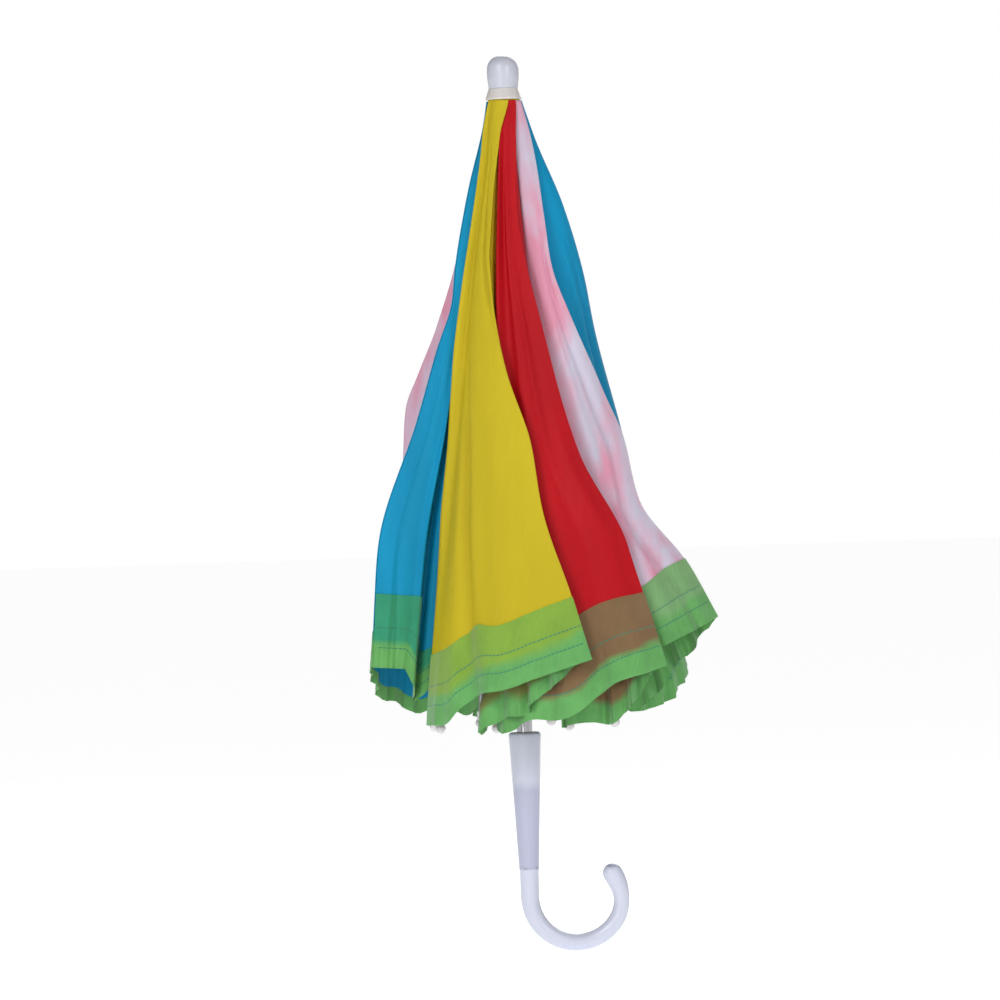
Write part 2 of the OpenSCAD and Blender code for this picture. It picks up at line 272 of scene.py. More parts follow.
def hem_material(name, over, reach=13 * MM):
    """Sheer green cloth: plain at its lower edge, and tinted where the panel lies under it."""
    material = new_material(name, GREEN, 0.5, Sheen_Weight=0.3, Sheen_Roughness=0.4, Specular_IOR_Level=0.14)
    tree = material.node_tree
    uv = add_node(tree, "ShaderNodeUVMap", uv_map="cloth").outputs["UV"]
    place = add_node(tree, "ShaderNodeTexCoord").outputs["Object"]
    above_edge = add_node(tree, "ShaderNodeSeparateXYZ", {"Vector": uv}).outputs["Y"]
    mottled = noise_value(tree, place, 60.0, 3.0, 0.6)
    plain = mix_colours(tree, ramp(tree, mottled, 0.3, 0.7), darker(GREEN, 0.8), GREEN)
    tinted = mix_colours(tree, ramp(tree, mottled, 0.25, 0.75), darker(over, 0.82), over)
    wander = ramp(tree, noise_value(tree, place, 40.0, 2.0), 0.0, 1.0, -7 * MM, 7 * MM)
    edge = calculate(tree, "ADD", above_edge, wander)
    made = mix_colours(tree, ramp(tree, edge, reach, reach + 5 * MM), plain, tinted)
    height, threads = weave(tree, uv)
    made = mix_colours(tree, ramp(tree, threads, 0.35, 0.75, 0.0, 0.22), made, darker(GREEN, 0.45))
    feed(tree, "Base Color", made)
    add_cloth_relief(tree, uv, height, (260, 90, 1), 8.0, 0.6)
    return material


def plastic_material(name, colour, roughness, depth, wear=0.05):
    """Moulded plastic with cloudy colour, a fine flow texture and small scratches."""
    material = new_material(name, colour, roughness, Subsurface_Weight=depth, Subsurface_Scale=3 * MM,
                            Coat_Weight=0.4, Coat_Roughness=0.24)
    material.node_tree.nodes["Principled BSDF"].inputs["Subsurface Radius"].default_value = (1, 1, 1)
    tree = material.node_tree
    place = add_node(tree, "ShaderNodeTexCoord").outputs["Object"]
    cloudy = noise_value(tree, scaled(tree, place, (90, 90, 30)), 1.0, 2.0)
    made = mix_colours(tree, ramp(tree, cloudy, 0.3, 0.7), darker(colour, 1 - wear), colour)
    feed(tree, "Base Color", made)
    rough = ramp(tree, noise_value(tree, place, 250.0, 3.0), 0.3, 0.7, roughness - 0.04, roughness + 0.05)
    feed(tree, "Roughness", rough)
    scratches = noise_value(tree, scaled(tree, place, (900, 900, 60)), 1.0, 3.0)
    add_bump(tree, scratches, 0.05, 0.02 * MM)
    return material


def metal_material(name, colour, roughness, streak=(1800, 1800, 30), dark=0.6, relief=0.2):
    """Drawn or plated steel with fine streaks along its length."""
    material = new_material(name, colour, roughness, Metallic=1.0)
    tree = material.node_tree
    place = add_node(tree, "ShaderNodeTexCoord").outputs["Object"]
    streaks = noise_value(tree, scaled(tree, place, streak), 1.0, 3.0)
    made = mix_colours(tree, ramp(tree, streaks, 0.35, 0.7), darker(colour, dark), colour)
    feed(tree, "Base Color", made)
    rough = ramp(tree, streaks, 0.3, 0.7, roughness * 0.8, roughness * 1.5)
    feed(tree, "Roughness", rough)
    add_bump(tree, streaks, relief, 0.02 * MM)
    return material


def thread_material(name, colour):
    """Twisted sewing thread: fine slanted strands in two shades."""
    material = new_material(name, colour, 0.5, Sheen_Weight=0.3)
    tree = material.node_tree
    place = add_node(tree, "ShaderNodeTexCoord").outputs["Object"]
    strands = add_node(tree, "ShaderNodeTexWave", {"Vector": place, "Scale": 600.0, "Distortion": 2.0},
                       bands_direction="DIAGONAL").outputs["Fac"]
    made = mix_colours(tree, strands, darker(colour, 0.6), colour)
    feed(tree, "Base Color", made)
    add_bump(tree, strands, 0.4, 0.05 * MM)
    return material


CLOTHS = {
    "yellow": cloth_material("cloth_yellow", YELLOW, 0.86),
    "red": cloth_material("cloth_red", RED, 0.72, sheen=0.15, roughness=0.42),
    "white": cloth_material("cloth_white", WHITE, 0.9, PINK),
    "blue": cloth_material("cloth_blue", BLUE, 0.7, sheen=0.2, roughness=0.45),
}
HEMS = {
    "yellow": hem_material("hem_over_yellow", (0.24, 0.42, 0.05)),
    "red": hem_material("hem_over_red", (0.24, 0.13, 0.065), 10 * MM),
    "white": hem_material("hem_over_white", (0.22, 0.44, 0.18)),
    "blue": hem_material("hem_over_blue", (0.03, 0.30, 0.17)),
    "shaded": hem_material("hem_over_seam", (0.22, 0.22, 0.06), 10 * MM),
}
THREAD = thread_material("thread_teal", (0.01, 0.22, 0.13))
CAP_PLASTIC = plastic_material("cap_plastic", (0.46, 0.475, 0.545), 0.36, 0.2)
COLLAR_PLASTIC = plastic_material("collar_plastic", (0.56, 0.53, 0.51), 0.38, 0.3)
WHITE_PLASTIC = plastic_material("white_plastic", (0.68, 0.66, 0.67), 0.35, 0.3)
CHROME = metal_material("chrome_tube", (0.50, 0.51, 0.53), 0.12, (420, 420, 12), dark=0.5, relief=0.05)
WIRE = metal_material("steel_wire", (0.55, 0.55, 0.56), 0.3, (900, 900, 900))
RIB_STEEL = metal_material("rib_steel", (0.50, 0.51, 0.53), 0.28)
NODE_MATERIALS = {
    "shaft": CHROME, "crown": WHITE_PLASTIC, "runner": WHITE_PLASTIC, "crown_wire": WIRE, "runner_wire": WIRE,
    "top_catch": WIRE, "bottom_catch": WIRE, "stop_pin": WIRE, "canopy_collar": COLLAR_PLASTIC,
}
RIB_COUNT = 8
REPEATED = {"rib": RIB_STEEL, "rib_joint": WIRE, "stretcher": RIB_STEEL, "tip": WHITE_PLASTIC}
for part, material in REPEATED.items():
    NODE_MATERIALS.update({f"{part}_{i}": material for i in range(1, RIB_COUNT + 1)})
for name, material in NODE_MATERIALS.items():
    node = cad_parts[name]
    if not node.material_slots:
        node.data.materials.append(material)
    for slot in node.material_slots:
        slot.material = material

# ---- the canopy's surfaces, in millimetres and degrees ----

# A leaf is half a gore, named (gore, 0) above its fold or (gore, 1) below it. Its s runs from the collar
# to the hem and its t from the rib to the fold.
CROWN_Z = 400.0
PIVOT_R = 6.5
CLOSED = math.radians(7.7)
FIRST_RIB = 208.0
RIB_STEP = 360 / RIB_COUNT
CLOTH_TOP = 400.0
CLOTH_LOW = 54.5
LEAF_LENGTH = 345.0
# How far the cloth stands off the rib's hinge line at the crown, and how much more at the hem.
CLOTH_OFF = 1.9
CLOTH_OFF_MORE = 0.9
# How far a lower leaf lies outside the upper one at the rib, and inside it at the fold.
LOWER_OUT = 0.5
LOWER_IN = 0.6
# Widths of a seam and of a fold, as a bearing times a radius.
SEAM_WIDTH = 20
FOLD_WIDTH = 14
# Power of t by which a leaf bulges outwards between its rib and its fold.
BELLY = 0.6
# Keeps a leaf's slope finite at the rib.
LEAST_T = 0.0005
COLOURS = ["yellow", "red", "white", "blue"]
# Each gore's fold line from the collar to its corner, as height, radius and bearing.
FOLDS = [
    [[405, 10.2, 285], [385, 14.5, 258], [345, 24, 249], [319, 31, 249], [300, 36, 252.5],
     [285, 40, 255.5], [250, 49, 265], [205, 62, 278.4], [170, 72, 281], [120, 88, 289], [82.7, 100, 293]],
    [[405, 10.2, 313], [385, 14.5, 296], [342, 23, 284], [275, 41, 295], [200, 62, 306],
     [147, 80, 321], [120, 90, 321], [77.3, 107, 320]],
    [[405, 10.5, 340], [387, 15, 343], [338, 25, 327], [308, 33, 318], [278, 42, 326],
     [235, 55, 341], [209, 65, 344], [172, 74, 342], [135, 99, 348], [103.3, 115, 350]],
    [[405, 10.5, 365], [382, 18, 368], [344, 33, 370], [304, 44, 372], [271, 50, 374],
     [210, 66, 378], [177, 74, 380], [74.8, 104, 383]],
    [[405, 10.2, 408], [340, 28, 409], [270, 46, 409], [200, 64, 408], [140, 82, 407], [82, 97, 407]],
    [[405, 10.2, 456], [340, 27, 457], [270, 43, 459], [200, 58, 460], [140, 70, 461], [74, 82, 462]],
    [[405, 10.2, 505], [348, 27, 513], [315, 35, 511], [278, 49, 511], [249, 62, 513],
     [230, 70, 514], [197, 74, 513], [140, 84, 512], [88.7, 95, 510]],
    [[405, 10.2, 550], [390, 13, 552], [354, 23, 554], [308, 33, 557], [290, 35.5, 558],
     [262, 46, 559], [221, 60, 560], [155, 85.5, 561], [118, 91, 563], [80.9, 94.5, 564]],
]

# Creases run down a leaf: (t at the top, t at the hem, first s, last s, half width in t, height in mm).
CREASES = {
    (0, 0): [(0.28, 0.47, 0.42, 0.97, 0.05, -4.6), (0.5, 1.6, 0.05, 0.33, 0.06, -2.6),
             (0.95, 0.80, 0.6, 1.0, 0.035, -1.0), (0.70, 0.86, 0.72, 1.0, 0.03, 0.9),
             (0.75, 0.66, 0.5, 0.95, 0.06, 0.9), (0.62, 0.30, 0.84, 1.0, 0.05, 1.0)],
    (1, 0): [(0.62, 0.74, 0.25, 1.0, 0.06, -1.4), (0.85, 0.88, 0.5, 1.0, 0.05, 1.0),
             (0.45, 0.55, 0.1, 0.9, 0.07, 1.2)],
    (2, 0): [(0.72, 0.80, 0.2, 0.9, 0.07, -1.6), (0.9, 0.62, 0.6, 1.0, 0.06, 1.4),
             (0.5, 0.55, 0.3, 1.0, 0.07, 1.2)],
    (3, 0): [(0.7, 0.75, 0.25, 0.8, 0.08, -3.6), (0.45, 0.5, 0.2, 1.0, 0.08, 1.6)],
    (7, 1): [(0.26, 0.19, 0.3, 1.0, 0.045, 2.6), (0.14, 0.10, 0.3, 1.0, 0.042, -10),
             (0.62, 0.70, 0.4, 1.0, 0.06, 0.7), (0.9, 0.5, 0.75, 1.0, 0.04, -0.6)],
}
# How many soft folds lie across a leaf.
LEAF_WAVES = 2.0
# How a leaf laps outwards over its rib, as (s, mm), and how widely.
LAPS = {(0, 0): ([(-0.016, 1.2), (0.02, 2.6), (0.05, 3.5), (0.17, 5.5), (0.31, 8), (0.405, 9), (0.49, 8),
                  (0.573, 6.9), (0.656, 7), (0.739, 5.6), (0.79, 4.5), (0.9, 3), (1.0, 2)], 0.07),
        (1, 0): ([(0, 0), (0.06, 3.5), (0.16, 6.5), (0.28, 8.5), (0.42, 9), (0.55, 6), (0.7, 0)], 0.16)}
# How far a leaf's seam is turned at the collar, in degrees.
SEAM_TURN = {(0, 0): -17, (7, 1): -17}
# How far the gathered cloth near a rib swings sideways at the hem, in degrees.
SWING = {(0, 1): -9, (1, 1): -14}
# How soon a leaf's height leaves its rib's and takes its fold's, as a power of t.
RISE = {(7, 1): 0.05, (2, 0): 0.6}
# How far a leaf's lower edge sags between its rib and its fold, in mm.
SAG = {(0, 1): 13, (1, 0): 15, (1, 1): 18, (2, 1): 0, (3, 0): 6, (6, 1): 2, (7, 0): 5}
SAG_OTHERS = 6
# How far it sags close to its rib, in mm.
RIB_SAG = {(0, 1): 13, (1, 0): 12, (1, 1): 10, (6, 1): 1, (7, 0): 2}
RIB_SAG_OTHERS = 7
# The whole sag of the leaves that need their own, as (t, mm).
DROPS = {(0, 0): [(0, 0), (0.04, 8), (0.1, 10.5), (0.2, 13), (0.3, 16), (0.35, 16.5), (0.39, 12.5), (0.43, 9),
                  (0.52, 4.5), (0.64, 6), (0.8, 3.5), (1, 0)],
         (7, 1): [(0, 0), (0.04, 13), (0.1, 19), (0.17, 13), (0.26, 4), (0.34, 0), (1, 0)],
         (2, 0): [(0, 0), (0.05, 8), (0.15, 10), (0.3, 5), (0.5, 0), (1, 0)]}
# Height of the ruffles along the lower edge, in mm.
RUFFLE = {(0, 0): 1.1, (7, 1): 0.2, (1, 0): 1.4, (2, 0): 1.2}
RUFFLE_OTHERS = (1.8, 3.0)
# How many broad and narrow ruffles lie along it.
BROAD_RUFFLES = 5.5
NARROW_RUFFLES = 9.3
# Hems that lie over a seam with the next panel.
HEM_OVER = {(0, 1): "shaded"}
# How the upper edge of a hem wanders along its panel, as (t, share of the leaf's length).
PLAIN_HEM_TOP = [(0, 0), (0.3, 0.003), (0.7, -0.003), (1, 0)]
HEM_TOP = {
    (0, 0): [(0, 0.013), (0.2, 0.0127), (0.38, 0.007), (0.49, 0.0015), (0.65, 0.013), (0.8, 0.0085),
             (1, 0.003)],
    (1, 0): [(0, -0.014), (0.45, -0.011), (0.75, -0.019), (1, -0.015)],
    (2, 0): [(0, 0), (0.5, 0.006), (0.8, -0.004), (1, 0)],
    (7, 0): [(0, 0.08), (0.5, 0.08), (1, 0.05)],
    (7, 1): [(0, 0.045), (0.085, 0.045), (0.12, -0.033), (0.2, -0.03), (0.34, -0.022), (0.6, -0.02),
             (1, -0.018)],
}


def smooth_value(knots, x):
    """A smooth curve through the knots that never swings past them."""
    kx, ky = np.array(sorted(knots)).T
    step = np.diff(ky) / np.diff(kx)
    slope = np.concatenate([[step[0]], np.zeros(len(step) - 1), [step[-1]]])
    same = step[:-1] * step[1:] > 0
    slope[1:-1][same] = 2 * step[:-1][same] * step[1:][same] / (step[:-1] + step[1:])[same]
    x = np.clip(x, kx[0], kx[-1])
    i = np.clip(np.searchsorted(kx, x) - 1, 0, len(kx) - 2)
    h = kx[i + 1] - kx[i]
    u = (x - kx[i]) / h
    return ((1 + 2 * u) * (1 - u) ** 2 * ky[i] + u * (1 - u) ** 2 * h * slope[i]
            + u * u * (3 - 2 * u) * ky[i + 1] + u * u * (u - 1) * h * slope[i + 1])


def mix(a, b, t):
    return a + (b - a) * t


def bell(x, centre, width):
    return np.exp(-((x - centre) / width) ** 2)


def rib_cloth_r(z):
    drop = CROWN_Z - z
    spread = CLOTH_OFF_MORE * drop / (CROWN_Z - CLOTH_LOW)
    return PIVOT_R + drop * math.tan(CLOSED) + CLOTH_OFF + spread


def leaf_middle(g, under, s, t):
    """Points of a leaf before its folds and ruffles."""
    fold = FOLDS[g]
    fold_z = mix(CLOTH_TOP, fold[-1][0], s)
    rib_z = mix(CLOTH_TOP, CLOTH_LOW, s)
    turn = 1 if under else -1
    start = FIRST_RIB + RIB_STEP * (g + under) - turn * SEAM_WIDTH / rib_cloth_r(rib_z)
    start_r = rib_cloth_r(rib_z) + (LOWER_OUT if under else 0)
    end_r = smooth_value([(z, r) for z, r, _ in fold], fold_z) - (LOWER_IN if under else 0)
    end = smooth_value([(z, bearing) for z, _, bearing in fold], fold_z) + turn * FOLD_WIDTH / end_r
    start = start + SEAM_TURN.get((g, under), 0) * bell(s, 0, 0.05)
    swing = SWING.get((g, under), 0) * bell(t, 0.13, 0.11) * np.clip((s - 0.88) / 0.12, 0, 1)
    az = np.radians(mix(start, end, t) + swing)
    r = mix(start_r, end_r, t ** BELLY)
    if (g, under) in LAPS:
        lap, wide = LAPS[g, under]
        r = r + smooth_value(lap, s) * bell(t, 0.07, wide) * np.clip(t / 0.03, 0, 1)
    z = mix(rib_z, fold_z, mix(t, t ** RISE.get((g, under), 1), np.clip(s, 0, 1)))
    return np.stack([r * np.cos(az), r * np.sin(az), z], -1)


def leaf_lift(g, under, s, t, p):
    """How far the cloth stands off its plain surface, in mm: soft folds, creases and a wavy edge."""
    seed = 17 * g + 7 * under
    window = np.sin(np.pi * np.clip(t, 0, 1)) ** 0.8 * np.clip(s / 0.15, 0, 1)
    phase = seed * 1.7
    lift = 0.35 * window * s * np.sin(2 * np.pi * (LEAF_WAVES * t + 0.5 * s) + phase)
    rough = np.array([noise.noise(Vector((q[0] * 0.035, q[1] * 0.035, q[2] * 0.012 + seed)))
                      for q in p.reshape(-1, 3)]).reshape(s.shape)
    lift += 1.5 * window * s * rough
    for top, low, first, last, width, height in CREASES.get((g, under), []):
        along = np.clip((s - first) / 0.15, 0, 1) * np.clip((last + 0.1 - s) / 0.1, 0, 1)
        lift += height * along * bell(t, mix(top, low, s), width) * np.clip(t / 0.1, 0, 1)
    edge = np.clip((s - 0.86) / 0.14, 0, 1.3) ** 1.5
    inner = np.clip(t / 0.12, 0, 1) * np.clip((1 - t) / 0.25, 0, 1)
    height = RUFFLE.get((g, under), RUFFLE_OTHERS[under])
    lift += height * edge * inner * np.sin(2 * np.pi * BROAD_RUFFLES * t + phase)
    lift += 0.6 * height * edge * inner * np.sin(2 * np.pi * NARROW_RUFFLES * t + 2.2 * phase + 6 * s)
    return lift


def leaf_droop(g, under, t):
    """How much further the lower edge reaches, as a share of the leaf's length."""
    if (g, under) in DROPS:
        return smooth_value(DROPS[g, under], t) / LEAF_LENGTH
    sag = SAG.get((g, under), SAG_OTHERS)
    wave = 1.6 * np.sin(2 * np.pi * (3.1 if under else 2.2) * t + g)
    near = RIB_SAG.get((g, under), RIB_SAG_OTHERS)
    drop = near * bell(t, 0.12, 0.15) + sag * bell(t, 0.45, 0.26) + wave * min(near, 1)
    return drop / LEAF_LENGTH * np.clip(t / 0.04, 0, 1) * np.clip((1 - t) / 0.2, 0, 1)


def leaf_grid(g, under, s_values, t_values):
    """Points in metres and outward normals of a leaf on a grid."""
    def place(s, t):
        wide = np.clip((s - 0.8) / 0.2, 0, 1)
        return leaf_middle(g, under, s + leaf_droop(g, under, t) * wide, t)

    def lifted(s, t):
        return place(s, t) + leaf_lift(g, under, s, t, place(s, t))[..., None] * direction(place, s, t)

    def direction(shape, s, t):
        d = 0.004
        down = shape(s + d, t) - shape(s - d, t)
        across = shape(s, np.minimum(t + d, 1)) - shape(s, np.maximum(t - d, LEAST_T))
        n = np.cross(across, down) if under else np.cross(down, across)
        return n / np.linalg.norm(n, axis=-1, keepdims=True)

    s = np.broadcast_to(s_values, (len(s_values), len(t_values)))
    t = np.maximum(np.broadcast_to(t_values, s.shape), LEAST_T)
    return lifted(s, t) * MM, direction(lifted, s, t)


# ---- the canopy's pieces, in metres ----

# Where the rows of a leaf begin, as shares of its length; the last row ends under the hem.
ROW_EDGES = [-0.016, 0.075, 0.11, 0.16, 0.235, 0.34, 0.42, 0.52, 0.63, 0.75]
ROW_STEP = 0.01
# How far each row's first strips lie under the row above it, and how many there are.
TUCK = 0.2 * MM
TUCK_STEPS = 2
HEM_LENGTH = 0.115
HEM_OVERLAP = 0.012
HEM_ROWS = 22
HEM_LIFT = 0.4 * MM
STITCH_ROWS = (10, 16)
FOLD_STEPS = 4
CLOTH_FOLD_R = 0.3 * MM
HEM_FOLD_R = 0.7 * MM
# The shortest flat side that a piece of cloth is reckoned to have.
LEAST_FLAT = 10 * MM
T_COUNT = 30
t_values = np.linspace(0, 1, T_COUNT) ** 0.95


def cloth_uv(points):
    """Distances across and along the cloth, measured on the surface, with the lower edge at zero."""
    across = np.concatenate([np.zeros((len(points), 1)),
                             np.cumsum(np.linalg.norm(np.diff(points, axis=1), axis=-1), 1)], 1)
    along = np.linalg.norm(np.diff(points, axis=0), axis=-1)
    along = np.concatenate([np.cumsum(along[::-1], 0)[::-1], np.zeros((1, points.shape[1]))])
    return np.stack([across, along], -1)


def grid_object(name, points, normals, uv, material):
    rows, cols = points.shape[:2]
    index = np.arange(rows * cols).reshape(rows, cols)
    quads = np.stack([index[:-1, :-1], index[:-1, 1:], index[1:, 1:], index[1:, :-1]], -1).reshape(-1, 4)
    flat = points.reshape(-1, 3)
    first = quads[0]
    side = np.cross(flat[first[1]] - flat[first[0]], flat[first[3]] - flat[first[0]])
    if side @ normals.reshape(-1, 3)[first[0]] < 0:
        quads = quads[:, ::-1]
    mesh = bpy.data.meshes.new(name)
    mesh.from_pydata(flat.tolist(), [], quads.tolist())
    layer = mesh.uv_layers.new(name="cloth")
    corner = np.zeros(len(mesh.loops), np.int32)
    mesh.loops.foreach_get("vertex_index", corner)
    layer.data.foreach_set("uv", uv.reshape(-1, 2)[corner].astype(np.float32).ravel())
    mesh.polygons.foreach_set("use_smooth", np.ones(len(mesh.polygons), bool))
    mesh.materials.append(material)
    mesh.normals_split_custom_set_from_vertices(normals.reshape(-1, 3).tolist())
    made = bpy.data.objects.new(name, mesh)
    bpy.context.collection.objects.link(made)
    return made


def with_fold_edge(points, normals, uv, radius):
    """Adds a rounded edge past the fold, which turns the cloth back under itself."""
    out = points[:, -1] - points[:, -2]
    n = normals[:, -1]
    out = out - n * np.sum(out * n, -1, keepdims=True)
    out /= np.linalg.norm(out, axis=-1, keepdims=True)
    more, more_n = [], []
    for k in range(1, FOLD_STEPS + 1):
        a = math.pi * k / FOLD_STEPS
        turned = math.cos(a) * n + math.sin(a) * out
        more.append(points[:, -1] + radius * (turned - n))
        more_n.append(turned)
    points = np.concatenate([points, np.stack(more, 1)], 1)
    normals = np.concatenate([normals, np.stack(more_n, 1)], 1)
    return points, normals, np.concatenate([uv, uv[:, -1:].repeat(FOLD_STEPS, 1)], 1)


def bridge(made, rib, gore, rib_line, fold_line):
    """Works out where a row of cloth starts across from its rib line towards its fold line, though nothing
    uses it, and bakes the row's placement into its mesh.
    """
    along = rib_line[-1] - rib_line[0]
    along /= np.linalg.norm(along)
    across = fold_line.mean(0) - rib_line.mean(0)
    across -= along * (across @ along)
    across /= np.linalg.norm(across)
    low, high = (rib_line @ across).max(), (fold_line @ across).min()
    start = rib_line.mean(0)
    start = start + across * (low - start @ across)
    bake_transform(made)


def declare_sheet(points):
    """Works out how large a piece of cloth was cut, from the area of its surface and its mean width, and
    keeps none of it.
    """
    across, down = np.diff(points, axis=1)[:-1], np.diff(points, axis=0)[:, :-1]
    area = np.linalg.norm(np.cross(across, down), axis=-1).sum()
    width = max(np.linalg.norm(across, axis=-1).sum(1).mean(), LEAST_FLAT)
    length = max(area / width, LEAST_FLAT)
    area = min(area, width * length)


def row_places(wander):
    """The s of every line across a leaf, and which of the lines divide its rows."""
    edges = ROW_EDGES + [1 - HEM_LENGTH + max(w for _, w in wander) + HEM_OVERLAP]
    places = [edges[0]]
    breaks = [0]
    for first, last in zip(edges, edges[1:]):
        count = max(2, round((last - first) / ROW_STEP))
        places += list(np.linspace(first, last, count + 1))[1:]
        breaks.append(len(places) - 1)
    return np.array(places)[:, None], breaks


def make_leaf(g, under):
    """A leaf's rows of cloth, its hem and the hem's stitches."""
    letter = "b" if under else "a"
    node = f"gore_{g + 1}_{letter}"
    rib = f"rib_{(g + under) % RIB_COUNT + 1}"
    colour = COLOURS[g % len(COLOURS)]
    wander = HEM_TOP.get((g, under), PLAIN_HEM_TOP)
    places, breaks = row_places(wander)
    points, normals = leaf_grid(g, under, places, t_values)
    shown, shown_n, uv = points, normals, cloth_uv(points)
    if not under:
        shown, shown_n, uv = with_fold_edge(shown, shown_n, uv, CLOTH_FOLD_R)
    hem_pieces, hem_points = make_hem(g, under, node, wander)
    lower = [np.concatenate([points[breaks[-2]:, i], hem_points[:, i]]) for i in (0, -1)]
    for k, (a, b) in enumerate(zip(breaks, breaks[1:])):
        part = slice(max(a - TUCK_STEPS, 0), b + 1)
        tucked = shown[part].copy()
        if k:
            tucked[:TUCK_STEPS] -= shown_n[a - TUCK_STEPS:a] * TUCK
        made = grid_object(f"{node}_cloth_{k + 1}", tucked, shown_n[part], uv[part], CLOTHS[colour])
        declare_sheet(points[part])
        if k < len(breaks) - 2:
            bridge(made, rib, node, points[part, 0], points[part, -1])
        else:
            bridge(made, rib, node, *lower)
            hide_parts(node)
    for piece in hem_pieces:
        bridge(piece, rib, node, *lower)


def stitch_line(points, normals, row, pitch=2.5 * MM, length=2.1 * MM, width=0.75 * MM):
    """Short raised stitches along one row of a hem's grid."""
    line, up = points[row], normals[row]
    reach = np.concatenate([[0], np.cumsum(np.linalg.norm(np.diff(line, axis=0), axis=-1))])
    verts, faces = [], []
    x = pitch
    while x < reach[-1] - pitch:
        ends = []
        for at in (x - length / 2, x, x + length / 2):
            q = np.array([np.interp(at, reach, line[:, i]) for i in range(3)])
            n = np.array([np.interp(at, reach, up[:, i]) for i in range(3)])
            ends.append((q, n / np.linalg.norm(n)))
        d = ends[2][0] - ends[0][0]
        d /= np.linalg.norm(d)
        base = len(verts)
        for (q, n), rise, half in zip(ends, (0.05, 0.28, 0.05), (0.5, 1.0, 0.5)):
            across = np.cross(n, d) * width / 2 * half
            verts += [q + across + 0.03 * MM * n, q + n * rise * MM, q - across + 0.03 * MM * n]
        for i in (0, 3):
            for k in (0, 1):
                faces.append([base + i + k, base + i + k + 1, base + i + k + 4, base + i + k + 3])
        x += pitch
    return verts, faces


def make_hem(g, under, node, wander):
    """The hem of a leaf with its stitches, and the hem's points."""
    down = np.linspace(0, 1, HEM_ROWS + 1)[:, None]
    upper = 1 - HEM_LENGTH + smooth_value(wander, t_values)
    points, normals = leaf_grid(g, under, mix(upper, 1, down), t_values)
    shown, shown_n, uv = points + normals * HEM_LIFT, normals, cloth_uv(points)
    if not under:
        shown, shown_n, uv = with_fold_edge(shown, shown_n, uv, HEM_FOLD_R)
    material = HEMS[HEM_OVER.get((g, under), COLOURS[g % len(COLOURS)])]
    made = grid_object(f"{node}_hem", shown, shown_n, uv, material)
    verts, faces = [], []
    for row in STITCH_ROWS:
        more, more_faces = stitch_line(shown, shown_n, row)
        faces += [[i + len(verts) for i in face] for face in more_faces]
        verts += more
    mesh = bpy.data.meshes.new(f"{node}_stitches")
    mesh.from_pydata([tuple(v) for v in verts], [], faces)
    mesh.materials.append(THREAD)
    stitches = bpy.data.objects.new(f"{node}_stitches", mesh)
    bpy.context.collection.objects.link(stitches)
    declare_sheet(points)
    return (made, stitches), points


for g in range(RIB_COUNT):
    for under in (0, 1):
        make_leaf(g, under)

# ---- the cloth under the collar ----

PLEATS = 64
PLEAT_DEPTH = 0.12 * MM


def pleated_ring(z, radius):
    ring = []
    for a in np.linspace(0, 2 * np.pi, PLEATS * 4 + 1):
        r = radius + PLEAT_DEPTH * math.cos(PLEATS * a)
        ring.append((r * math.cos(a), r * math.sin(a), z))
    return ring


top_low, top_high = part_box("canopy_top")
levels = [(top_low.z - 1 * MM, 8.2 * MM), (top_low.z, 8.6 * MM), (top_high.z, 9.0 * MM),
          (top_high.z + 0.05 * MM, 5 * MM)]
rings = np.array([pleated_ring(z, radius) for z, radius in levels])
outward = rings * (1, 1, 0)
outward /= np.linalg.norm(outward, axis=-1, keepdims=True)
gathered = grid_object("canopy_top_cloth", rings, outward, cloth_uv(rings), CLOTHS["yellow"])
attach(gathered, "shaft")
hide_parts("canopy_top")

# ---- the handle ----

GRIP_TOP = 40 * MM
GRIP_LOW = -39.5 * MM
GRIP_TOP_R = 9.3 * MM
GRIP_LOW_R = 5.7 * MM
MOUTH_DEPTH = 9 * MM
MOUTH_BEVEL = 0.6 * MM
LIP_R = 2 * MM
HOOK_Z = -55.7 * MM
HOOK_R = 26.9 * MM
HOOK_TURN = math.radians(210)
ROD_START_R = 5.3 * MM
ROD_END_R = 4.35 * MM
BULB_R = 5.8 * MM
SHAFT_R = 4.52 * MM
# How far before the hook's end its rod swells into the bulb, and how far the end curls in.
SWELL_LENGTH = 20 * MM
CURL = 2.3 * MM
TUBE_SHADE = (0.37, 0.385, 0.53)
TUBE_END_SHADE = (0.14, 0.14, 0.20)
# Radius that closes a round end.
POINT_R = 0.02 * MM
DOWN = (0, 0, -1)
UP = (0, 0, 1)


def smooth_step(x):
    x = min(max(x, 0), 1)
    return x * x * (3 - 2 * x)


